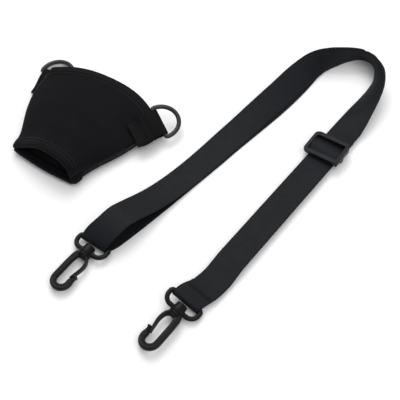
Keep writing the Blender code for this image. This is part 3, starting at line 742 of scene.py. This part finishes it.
def make_slider(paint, web):
    at = SLIDER_AT + cross_direction(RUN_TURN) * SLIDER_SHIFT
    rolled = RUN_TURN @ SLIDER_YAW @ SLIDER_ROLL
    middle = (END_BAR_LOW + SLIDER_HIGH) / 2 + SLIDER_LIFT
    thick = SLIDER_HIGH - END_BAR_LOW + SLIDER_SWELL
    rim = []
    inset_x = SLIDER_WIDE / 2 - SLIDER_CORNER
    inset_y = SLIDER_LONG / 2 - SLIDER_CORNER
    inner = max(SLIDER_CORNER - SLIDER_RAIL, 0.8)
    points, faces = [], []
    for quarter, (sx, sy) in enumerate(((1, 1), (-1, 1), (-1, -1), (1, -1))):
        for a in np.radians(np.linspace(0, 90, 7) + 90 * quarter):
            c, s = math.cos(a), math.sin(a)
            rim.append((sx * inset_x + SLIDER_CORNER * c, sy * inset_y + SLIDER_CORNER * s,
                        sx * (SLIDER_WIDE / 2 - SLIDER_RAIL - inner) + inner * c,
                        sy * (SLIDER_LONG / 2 - SLIDER_END_BAR - inner) + inner * s))
    half = thick / 2
    for x, y, in_x, in_y in rim:
        for place in ((x, y, -half), (x, y, half), (in_x, in_y, half), (in_x, in_y, -half)):
            points.append(at + UP * middle + turned_by(rolled, place))
    for i in range(len(rim)):
        k = (i + 1) % len(rim)
        for j in range(4):
            m = (j + 1) % 4
            faces.append((i * 4 + j, k * 4 + j, k * 4 + m, i * 4 + m))
    members = [(points, faces)]
    for side in (-1, 1):
        x = side * (SLIDER_WIDE / 2 - SIDE_INSET)
        for long, low in ((YOKE_LONG, YOKE_LOW), (SLIDER_LONG - 6.0, RAIL_LOW)):
            members.append(block((SIDE_WIDE, long, middle - low), (x, 0, (middle + low) / 2), at, RUN_TURN))
    bar_size = (SLIDER_WIDE - 2.0, BAR_LONG, BAR_THICK)
    members.append(block(bar_size, (0, 0, BAR_MIDDLE), at, RUN_TURN))
    frame = moulded("slider", members, paint, voxel=0.3, rounds=5)
    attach(frame, "slider")
    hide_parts("slider_frame")

    across = cross_direction(RUN_TURN)
    back = np.cross(UP, across)
    base = RUN_HIGH + LAYER_PITCH * 0.3
    rows = []
    for reach, rise in HUMP_FORM:
        rows += with_cross([at + back * reach + UP * (base + rise)], across)
    hump, hump_rows = band("slider_hump", rows, web, width=HUMP_WIDTH, step=0.8)
    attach(hump, "slider")

    radius = (WRAP_HIGH - WEB_THICK / 2) / 2
    middles = [SLIDER_AT + back * reach + UP * WRAP_HIGH for reach in (WRAP_REACH, 20.0, 10.0, 4.0)]
    turn_at = SLIDER_AT - back * 1.2 + UP * (WRAP_HIGH - radius)
    for a in np.radians(np.linspace(90, 270, FOLD_STEPS)):
        middles.append(turn_at + radius * (math.cos(a) * back + math.sin(a) * UP))
    under = WRAP_HIGH - LAYER_PITCH
    for reach, high in ((4.0, 0.6), (10.0, 1.4), (14.4, under), (24.0, under)):
        middles.append(SLIDER_AT + back * reach + UP * high)
    end, end_rows = band("slider_strap_end", with_cross(middles, across), web)
    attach(end, "slider")
    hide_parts("slider_webbing_end")


# ---------------------------------------------------------------- hooks

def loop_points():
    """The swivel loop's wire: a straight bar, tight upper corners and wide lower ones."""
    points = []
    corners = ((LOOP_TIGHT, -LOOP_TIGHT, 90.0), (LOOP_WIDE, LOOP_WIDE - LOOP_DEEP, 0.0))
    for radius, middle_y, first in corners:
        middle_x = LOOP_HALF - radius
        for a in np.radians(np.linspace(first, first - 90.0, 10)):
            points.append((middle_x + radius * math.cos(a), middle_y + radius * math.sin(a), 0.0))
    return points + [(-x, y, z) for x, y, z in reversed(points)]


def make_hook(number, at, turn, flip, paint):
    """One swivel hook: its loop with the socket, the hook with its collar and shoulder, and the tongue."""
    hook_turn = turn @ Matrix.Rotation(math.pi * flip + math.radians(HOOK_ROLLS[number - 1]), 4, "Y")
    wire = loop_points()
    socket = ((3.6, COLLAR_TOP + 0.3), (4.7, COLLAR_TOP), (5.1, -9.0), (5.2, -11.4), (5.5, -12.4),
              (5.7, -13.2), (5.5, COLLAR_END))
    loop = moulded(f"hook_{number}_loop_skin", [bar(wire, [LOOP_SKIN] * len(wire), at, turn, closed=True),
                                                lathe(socket, at, turn)], paint)
    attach(loop, f"loop_{number}")
    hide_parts(f"hook_{number}_loop")

    x, y, radius = HOOK_BEND
    nose = x + radius
    points = [(-4.0, -15.0, 0.0), (-5.0, -18.4, 0.0), (-5.5, -23.0, 0.0), (-5.7, -29.0, 0.0),
              (-5.7, -35.0, 0.0)]
    radii = [2.7, 2.9, HOOK_ARM, HOOK_ARM, HOOK_ARM]
    for a in np.radians(np.linspace(180, 360, 19)):
        points.append((x + radius * math.cos(a), y + radius * math.sin(a), 0.0))
        radii.append(HOOK_ARM)
    points += [(nose, y + 3.2, 0.0), (nose + 0.6, y + 4.8, 0.0), (nose + 0.8, y + 8.6, 0.0)]
    radii += [2.6, 1.8, 1.4]
    under = COLLAR_END - CLEAR
    collar = ((5.5, under), (5.6, under - 1.0), (5.3, under - 1.9), (4.4, under - 2.8), (2.4, under - 3.2))
    shoulder = ((-4.2, -17.6, 0.0), (-1.0, -16.2, 0.0), (2.6, -16.2, 0.0), (4.8, -17.4, 0.0))
    tip = block((2.7, 2.0, 5.0), (nose + 0.8, y + 7.9, 0.0), at, hook_turn)
    route = smooth_path(np.column_stack((points, radii)), 1.0)
    arm = bar(route[:, :3], route[:, 3], at, hook_turn, square=0.8, groove=0.28)
    hook = moulded(f"hook_{number}_skin", [arm, bar(shoulder, (2.1, 2.2, 2.2, 1.7), at, hook_turn),
                                           lathe(collar, at, hook_turn), tip], paint)
    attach(hook, f"hook_{number}")
    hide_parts(f"hook_{number}")

    bow = GATE_BOWS[number - 1]
    tongue = ((3.9, -15.9), (6.1, -18.6), (bow, -22.2), (bow + 0.1, -26.0), (bow - 0.5, -30.0),
              (bow * 0.3 + 3.8, -34.0), (bow * 0.2 + 3.9, -37.6))
    gate_rows = smooth_path([(gx, gy, 0.0) for gx, gy in tongue], 0.8)
    taper = np.interp(np.linspace(0, 1, len(gate_rows)), (0, 0.15, 0.7, 1), (1.15, 1.0, 0.85, 0.7))
    thick = taper * GATE_THICK / 2
    spring = bar(gate_rows, thick, at, hook_turn, squeeze=GATE_TALL / GATE_THICK, square=0.5)
    gate = mesh_object(f"hook_{number}_gate_skin", *spring, paint)
    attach(gate, f"gate_{number}")
    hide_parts(f"hook_{number}_gate")


# ---------------------------------------------------------------- cup

SHARES = np.linspace(0, 1, 201)


def side_table(points):
    """A side seam's points at even shares of its length."""
    rows = through(points, 4.0)
    reach = travelled(rows)
    return np.array([np.interp(SHARES * reach[-1], reach, rows[:, k]) for k in range(3)]).T


LEFT_SIDE, RIGHT_SIDE = side_table(CUP_LEFT), side_table(CUP_RIGHT)
MOUTH_LINE = through(MOUTH_CROWN, 0.5)


def on_side(table, v):
    return np.array([np.interp(v, SHARES, table[:, k]) for k in range(3)])


def cup_point(u, v, over):
    """The middle of the upper (over) or lower panel's sheet: u -1 to 1 across, v 0 to 1 along."""
    left, right = on_side(LEFT_SIDE, v), on_side(RIGHT_SIDE, v)
    place = left + (right - left) * (u + 1) / 2
    crown = max(1 - u * u, 0.0) ** 0.75
    arch = (1 - abs(u) ** 2.5) * (1 + ARCH_LEAN * u) * ARCH_RISE
    set_back = (1 - u * u) * MOUTH_SET_BACK * (1 if over else -1)
    place[1] += arch * v + set_back * (1 - v)
    stand = (NEOPRENE + SEAM_GAP) / 2
    if over:
        rise = np.interp(v, np.linspace(0, 1, len(PUFF)), PUFF) * crown
        mouth = max(0.0, 1 - v / MOUTH_REACH) ** 2
        place[2] += stand + rise + (np.interp(u, MOUTH_LINE[:, 0], MOUTH_LINE[:, 1]) - rise) * mouth
    else:
        floor = NEOPRENE / 2 + FLOOR_TAPE * (2 * v - 1) ** 4
        settle = min(1.0, crown * 1.5) ** (4 if u < 0 else 1)
        place[2] += (floor - place[2] + stand) * settle - stand
    return place


def slack(u, v, over):
    """The neoprene's gentle undulation, fading out at its sewn edges, and a dent under the right tab."""
    if not over:
        return 0.0
    fade = (1 - u ** 4) * min(1.0, 6 * v) * min(1.0, 6 * (1 - v))
    dent = TAB_DENT * math.exp(-((u - 0.82) / 0.22) ** 2 - ((v - 0.74) / 0.12) ** 2)
    dent *= min(1.0, 10 * (1 - abs(u)))
    return fade * (0.35 * math.sin(4.1 * u + 5.0 * v) + 0.25 * math.sin(7.3 * v - 3.2 * u + 1.0)) - dent


def panel_point(u, v, over):
    return cup_point(u, v, over) + UP * slack(u, v, over)


def panel_frame(u, v, over):
    """A point on a panel's middle and the way its thickness runs, which is upright where panels meet."""
    place = panel_point(u, v, over)
    if not over:
        return place, UP
    step = 0.004
    across = panel_point(min(u + step, 1.0), v, over) - panel_point(max(u - step, -1.0), v, over)
    ahead = panel_point(u, min(v + step, 1.0), over) - panel_point(u, max(v - step, 0.0), over)
    upright = max(0.0, (abs(u) - 0.965) / 0.035) ** 2
    return place, unit(unit(np.cross(across, ahead)) * (1 - upright) + UP * upright)


def make_panel(name, node, over, paint):
    """One neoprene panel: its outer and inner skins, closed all round its edge."""
    us = np.sin(np.linspace(-1, 1, 61) * math.pi / 2)
    vs = np.linspace(0, 1, 45)
    frames = np.array([panel_frame(u, v, over) for v in vs for u in us])
    half = frames[:, 1] * NEOPRENE / 2
    points = np.vstack((frames[:, 0] + half, frames[:, 0] - half))
    wide, tall = len(us), len(vs)
    lower = wide * tall
    faces, uvs = [], []
    flat = [(cup_point(u, v, over)[0], cup_point(0.0, v, over)[1]) for v in vs for u in us]
    flat += flat
    for i in range(tall - 1):
        for j in range(wide - 1):
            a, b, c, d = i * wide + j, i * wide + j + 1, (i + 1) * wide + j + 1, (i + 1) * wide + j
            faces.append((a, b, c, d))
            faces.append((a + lower, d + lower, c + lower, b + lower))
    edge = [*range(wide)] + [i * wide + wide - 1 for i in range(1, tall)]
    edge += [(tall - 1) * wide + j for j in range(wide - 2, -1, -1)]
    edge += [i * wide for i in range(tall - 2, 0, -1)]
    for a, b in zip(edge, edge[1:] + edge[:1]):
        faces.append((a, a + lower, b + lower, b))
    for face in faces:
        uvs += [flat[v] for v in face]
    panel = mesh_object(name, points, faces, paint, uvs)
    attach(panel, "cup")
    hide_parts(node)
    return panel


def edge_frame(u, v, over):
    """A panel's point at its edge, and the direction out of the cup there."""
    inside = v + (0.02 if v < 0.5 else -0.02)
    place = cup_point(u, v, over)
    return place, unit(place - cup_point(u, inside, over))


def edge_tape(name, node, v, over, wide, tape, bulge, paint):
    """Tape folded round a panel's edge, from one corner of the cup to the other."""
    us = np.sin(np.linspace(-1, 1, 73) * math.pi / 2) * 0.998
    end_v = abs(v - wide / CUP_LONG)
    skin_out = NEOPRENE / 2 + tape
    rings = []
    for u in us:
        place, outward = edge_frame(u, v, over)
        inner_share = min(1.0, (1 - abs(u)) * 12)
        legs = [panel_frame(u, s, over) for s in np.linspace(end_v, v, 5)]
        inner_out = NEOPRENE / 2 + (tape * inner_share if inner_share > 0.2 else -0.3)
        top_high = skin_out if over else inner_out
        low_high = inner_out if over else skin_out
        outer = [p + n * top_high for p, n in legs]
        outer[0] = outer[0] - legs[0][1] * tape * 0.85
        lower = [p - n * low_high for p, n in legs]
        turn = []
        for a in np.radians((72, 48, 24, 0, -24, -48, -72)):
            high = top_high if a >= 0 else low_high
            turn.append(place + outward * bulge * math.cos(a) + legs[-1][1] * high * math.sin(a))
        rings.append(np.array(outer + turn + lower[::-1]))
    rings = np.array(rings)
    outermost = rings[:, 8]
    around = travelled(rings[len(rings) // 2])
    faces, uvs = skin(rings, [*around, around[-1] + 1.0], travelled(outermost))
    made = mesh_object(name, np.vstack(rings), faces, paint, uvs)
    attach(made, "cup")
    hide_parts(node)


def panel_row(v, over, reach, high, count=80):
    """Points just above a panel's upper skin along a row at share v, and their upward directions."""
    frames = [panel_frame(u, v, over) for u in np.linspace(-reach, reach, count)]
    return [p + n * (NEOPRENE / 2 + high) for p, n in frames], [n for _, n in frames]


def make_mouth_corner(name, table, side, sizes, inset, paint):
    """The hem's thick folded end, where both panels meet at a corner of the mouth."""
    ahead = unit(on_side(table, 0.12) - on_side(table, 0.0))
    out = unit(np.cross(ahead, UP)) * side
    wide, long, tall = sizes
    middle = on_side(table, 0.0) + ahead * (long - 1.2) - out * inset
    rings, lengths = [], []
    around = np.linspace(0, 2 * math.pi, 33)
    for a in np.radians(np.linspace(-88, 88, 17)):
        ring = abs(math.cos(a)) ** 0.6
        reach = long * math.copysign(abs(math.sin(a)) ** 0.8, a)
        rings.append([middle + ahead * reach + out * wide * ring * math.cos(b)
                      + UP * tall * ring * math.sin(b) for b in around[:-1]])
        lengths.append(reach)
    faces, uvs = skin(rings, around * tall, lengths)
    fold_end = mesh_object(name, np.vstack(rings), faces, paint, uvs)
    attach(fold_end, "cup")


def make_serging(name, table, side, paint, covered):
    """Overlock thread along a side seam: slanted loops round both panels' edges, and two running threads.

    No loops stand out between the two shares in covered, where a tab lies over the seam.
    """
    half = NEOPRENE + SEAM_GAP / 2
    paths = []
    shares = np.linspace(0.035, 0.95, 46)
    for v, after in zip(shares, shares[1:]):
        if covered and covered[0] < v < covered[1]:
            continue
        place, onward = on_side(table, v), on_side(table, after)
        ahead = unit(onward - place)
        outward = unit(np.cross(ahead, UP)) * side
        slant = (onward - place) * 0.45
        loop = [(-3.4, half + 1.6, 1.0), (-1.6, half + 0.9, 0.6), (0.2, half + 0.25, 0.3),
                (0.75, half * 0.5, 0.0), (0.85, 0.0, -0.2), (0.75, -half * 0.5, 0.0),
                (0.2, -half - 0.2, 0.3), (-1.8, -half - 0.3, 0.6)]
        paths.append(np.array([place + outward * a + UP * b + slant * c for a, b, c in loop]))
    for high in (half * 0.55, -half * 0.55):
        line = []
        for v in np.linspace(0.03, 0.95, 60):
            ahead = on_side(table, min(v + 0.01, 1)) - on_side(table, v - 0.01)
            line.append(on_side(table, v) + UP * high + unit(np.cross(ahead, UP)) * side)
        paths.append(np.array(line))
    return threads(name, paths, 0.42, paint)


def make_cup(neoprene, painted_light_neoprene, binding, thread, groove, overlock):
    front = make_panel("cup_front", "cup_front_panel", True, neoprene)
    # The back panel's neoprene is painted lighter, as painted light against the shade inside the mouth.
    back = make_panel("cup_back", "cup_back_panel", False, painted_light_neoprene)
    edge_tape("front_rim_tape", "front_rim_binding", 1.0, True, 5.8, 1.0, 3.1, binding)
    edge_tape("back_rim_tape", "back_rim_binding", 1.0, False, 5.8, 0.6, 1.8, binding)
    edge_tape("front_mouth_fold", "front_mouth_hem", 0.0, True, 7.0, 0.8, 2.4, neoprene)
    edge_tape("back_mouth_fold", "back_mouth_hem", 0.0, False, 7.0, 0.8, 2.4, neoprene)
    mouth_rows = ((0.03, True, 0.88), (0.064, True, 0.9), (0.03, False, 0.88), (0.064, False, 0.9))
    # The rim's stitches use the thread painted darker, as painted shade of their groove.
    for label, rows, radius, paint in (("mouth_stitches", mouth_rows, 0.34, thread),
                                       ("rim_stitches", ((0.958, True, 1.05),), 0.38, groove)):
        paths = []
        for v, over, high in rows:
            paths += stitch_paths(*panel_row(v, over, 0.95, high), pitch=2.4)
        sewn = threads(label, paths, radius, paint)
        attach(sewn, "cup")
    # Painted shade: a dark cord laid along the rim where the binding's inner edge is sewn down, standing
    # for the shade in that groove.
    line = np.array(panel_row(RIM_GROOVE, True, 0.97, 0.15)[0])
    groove_shade_cord = threads("rim_groove_painted_shade", [line], 0.5, groove)
    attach(groove_shade_cord, "cup")
    make_mouth_corner("left_mouth_corner", LEFT_SIDE, -1, (3.2, 4.6, 5.2), 1.4, neoprene)
    make_mouth_corner("right_mouth_corner", RIGHT_SIDE, 1, (3.6, 5.6, 5.4), 0.3, neoprene)
    seams = ((-1, "left", LEFT_SIDE, None), (1, "right", RIGHT_SIDE, RIGHT_TAB_COVERS))
    for side, label, table, covered in seams:
        seam = make_serging(f"{label}_overlock", table, side, overlock, covered)
        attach(seam, "cup")
        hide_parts(f"{label}_side_seam")


def ring_points():
    points = [(x, 0.0, 0.0) for x in np.linspace(-RING_HALF + 1.5, RING_HALF - 1.5, 9)]
    points.append((RING_HALF - 0.4, 0.6, 0.0))
    for a in np.radians(np.linspace(0, 180, 33)):
        points.append((RING_HALF * math.cos(a), 2.0 + (RING_DEEP - 2.0) * math.sin(a), 0.0))
    return points + [(-RING_HALF + 0.4, 0.6, 0.0)]


def tab_rows(at, turn, high, bump, skew, roll):
    """Over the ring's bar and back under it: rows of (place, cross direction) in the tab's own frame.

    high is the sewn end's height, bump its hump over the cup's edge, and skew and roll how far that end
    has shifted sideways and rolled to lie on the cup.
    """
    radius = RING_WIRE + CLEAR + WEB_THICK / 2
    angles = np.radians(np.linspace(90, -90, FOLD_STEPS))
    turn_round = [(radius * math.cos(a), radius * math.sin(a)) for a in angles]
    upper = [(-TAB_REACH, high), (-TAB_REACH + 4, high + 0.1), (-TAB_REACH + 8.5, high + 0.3 + 0.3 * bump),
             (-14.0, (high + radius) / 2 + bump), (-9.0, radius - 0.5 + bump * 0.5), (-4.5, radius - 0.2)]
    lower = [(-9.0, radius - 3.2), (-14.0, (high + radius) / 2 - LAYER_PITCH + min(bump, 0.5) - 0.6),
             (-18.0, high - LAYER_PITCH), (-TAB_REACH + 4.0, high - LAYER_PITCH)]
    rows = []
    for y, z in upper + turn_round + lower:
        share = min(max((-y - 5.0) / 15.0, 0.0), 1.0)
        lean = turn @ Matrix.Rotation(math.radians(roll * share), 4, "Y")
        rows.append((*(at + turned_by(turn, (skew * share, y, z))), *cross_direction(lean)))
    return rows


def make_ring_and_tab(label, at, turn, tab_form, ring, web, thread):
    wire = ring_points()
    hoop = bar(wire, [RING_SKIN] * len(wire), at, turn, closed=True)
    d_ring = mesh_object(f"{label}_ring_skin", *hoop, ring)
    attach(d_ring, f"{label}_ring")
    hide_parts(f"{label}_d_ring")
    tab, rows = band(f"{label}_tab_web", tab_rows(at, turn, *tab_form), web, step=1.0)
    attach(tab, "cup")
    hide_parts(f"{label}_tab")
    end, across = rows[0, :3], unit(rows[0, 3:6])
    inward = unit(rows[3, :3] - end)
    up = np.cross(inward, across)
    up = up * math.copysign(1.0, up[2])
    paths = []
    for back in (1.4, 4.8):
        start = end + inward * back + up * (WEB_THICK / 2 + 0.12)
        line = [start + across * a for a in np.linspace(-11.4, 11.4, 12)]
        paths += stitch_paths(line, [up] * len(line), pitch=2.1)
    # These stitches use the thread painted darker, as painted shade of their grooves.
    sewn = threads(f"{label}_tab_stitches", paths, 0.42, thread)
    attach(sewn, "cup")


# ---------------------------------------------------------------- scene

for old in list(bpy.data.objects):
    bpy.data.objects.remove(old, do_unlink=True)
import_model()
bpy.context.view_layer.update()

make_camera()
make_studio()
WEBBING = webbing_finish()
# The tabs' webbing is coloured darker than the strap's, with less shine.
TAB_WEBBING = webbing_finish("tab_webbing", (0.0018, 0.0018, 0.0020), (0.0062, 0.0062, 0.0068), 0.06)
NEOPRENE_CLOTH = neoprene_finish()
# Painted light: the cup's back panel gets neoprene coloured several times lighter than the front's, to lift
# the shade inside the mouth.
NEOPRENE_PAINTED_LIGHT = neoprene_finish("neoprene_painted_light", (0.020, 0.019, 0.020), (0.036, 0.034, 0.036))
BINDING = binding_finish()
THREAD = thread_finish()
# Real thread, painted darker than the plain thread as painted shade of the grooves its stitches sink into;
# sewn on the strap's end, the tabs and the cup's rim.
GROOVE_SHADE_THREAD = thread_finish("thread_painted_groove_shade", (0.0015, 0.0015, 0.002), (0.006, 0.006, 0.007))
OVERLOCK = thread_finish("overlock_thread", (0.004, 0.004, 0.005), (0.024, 0.024, 0.026))
GLOSS = gloss_finish()
MATTE = matte_finish()
RING = ring_finish()
make_hook(1, HOOK_1_AT, HOOK_1_TURN, 0, GLOSS)
make_hook(2, HOOK_2_AT, HOOK_2_TURN, 1, GLOSS)
make_strap(WEBBING, GROOVE_SHADE_THREAD)
make_slider(MATTE, WEBBING)
make_cup(NEOPRENE_CLOTH, NEOPRENE_PAINTED_LIGHT, BINDING, THREAD, GROOVE_SHADE_THREAD, OVERLOCK)
make_ring_and_tab("right", RIGHT_TAB_AT, RIGHT_TAB_TURN, (2.7, 1.8, 3.8, -5.0), RING, TAB_WEBBING, GROOVE_SHADE_THREAD)
make_ring_and_tab("left", LEFT_TAB_AT, LEFT_TAB_TURN, (-1.1, 0.0, 0.0, 0.0), RING, TAB_WEBBING, GROOVE_SHADE_THREAD)

bpy.context.view_layer.update()
